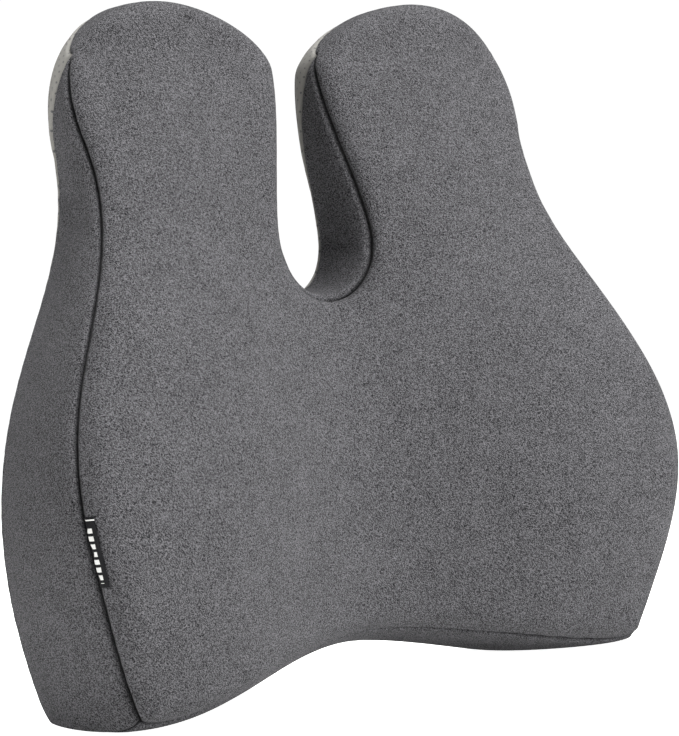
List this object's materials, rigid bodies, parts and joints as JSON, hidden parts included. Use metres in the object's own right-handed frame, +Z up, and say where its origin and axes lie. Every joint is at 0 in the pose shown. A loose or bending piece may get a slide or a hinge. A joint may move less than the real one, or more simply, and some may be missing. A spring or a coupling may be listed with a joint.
{
  "type": "lumbar support cushion",
  "caption": "Contoured lumbar support cushion with two upper lobes, a spine channel, forward side wings and an arched base; foam core, liner and zip-off velour cover.",
  "frame": {"origin": "middle of the bottom of the cushion's box, on the surface it stands on", "axes": "+Z up, +Y out of the flat back that lies against the chair, -Y out of the hollow front, +X to the right of someone who faces the front"},
  "size_m": [0.433, 0.1336, 0.4275],
  "materials": {
    "velour": "short-nap grey velour, matt with a soft sheen",
    "backing": "light warm grey fabric with small dark grip dots",
    "foam": "cream moulded slow-recovery foam",
    "jersey": "thin white knitted liner",
    "zip_cloth": "dark woven zip tape",
    "nylon": "dark nylon coil",
    "metal": "gunmetal zip hardware",
    "label_cloth": "black woven label with plain light marks"
  },
  "bodies": {
    "cushion": {"foam_core": "foam", "inner_liner": "jersey", "front_panel": "velour", "side_panel_left": "velour", "side_panel_right": "velour", "channel_panel": "velour", "bottom_panel": "velour", "back_panel": "backing", "zip_tape_upper": "zip_cloth", "zip_tape_lower": "zip_cloth", "zip_coil_upper": "nylon", "zip_coil_lower": "nylon", "zip_stop_closed": "metal", "zip_stop_open": "metal", "brand_tab": "label_cloth"},
    "slider": {"zip_slider": "metal"},
    "pull": {"zip_pull": "metal"}
  },
  "joints": [
    {"name": "zip_slide", "type": "slide", "parent": "cushion", "child": "slider", "axis": [-1, 0, 0], "range_m": [0, 0.222]},
    {"name": "pull_hinge", "type": "hinge", "parent": "slider", "child": "pull", "pos_m": [0.11685, 0.06598, 0.078], "axis": [0, 0, -1], "range_deg": [0, 110]}
  ]
}
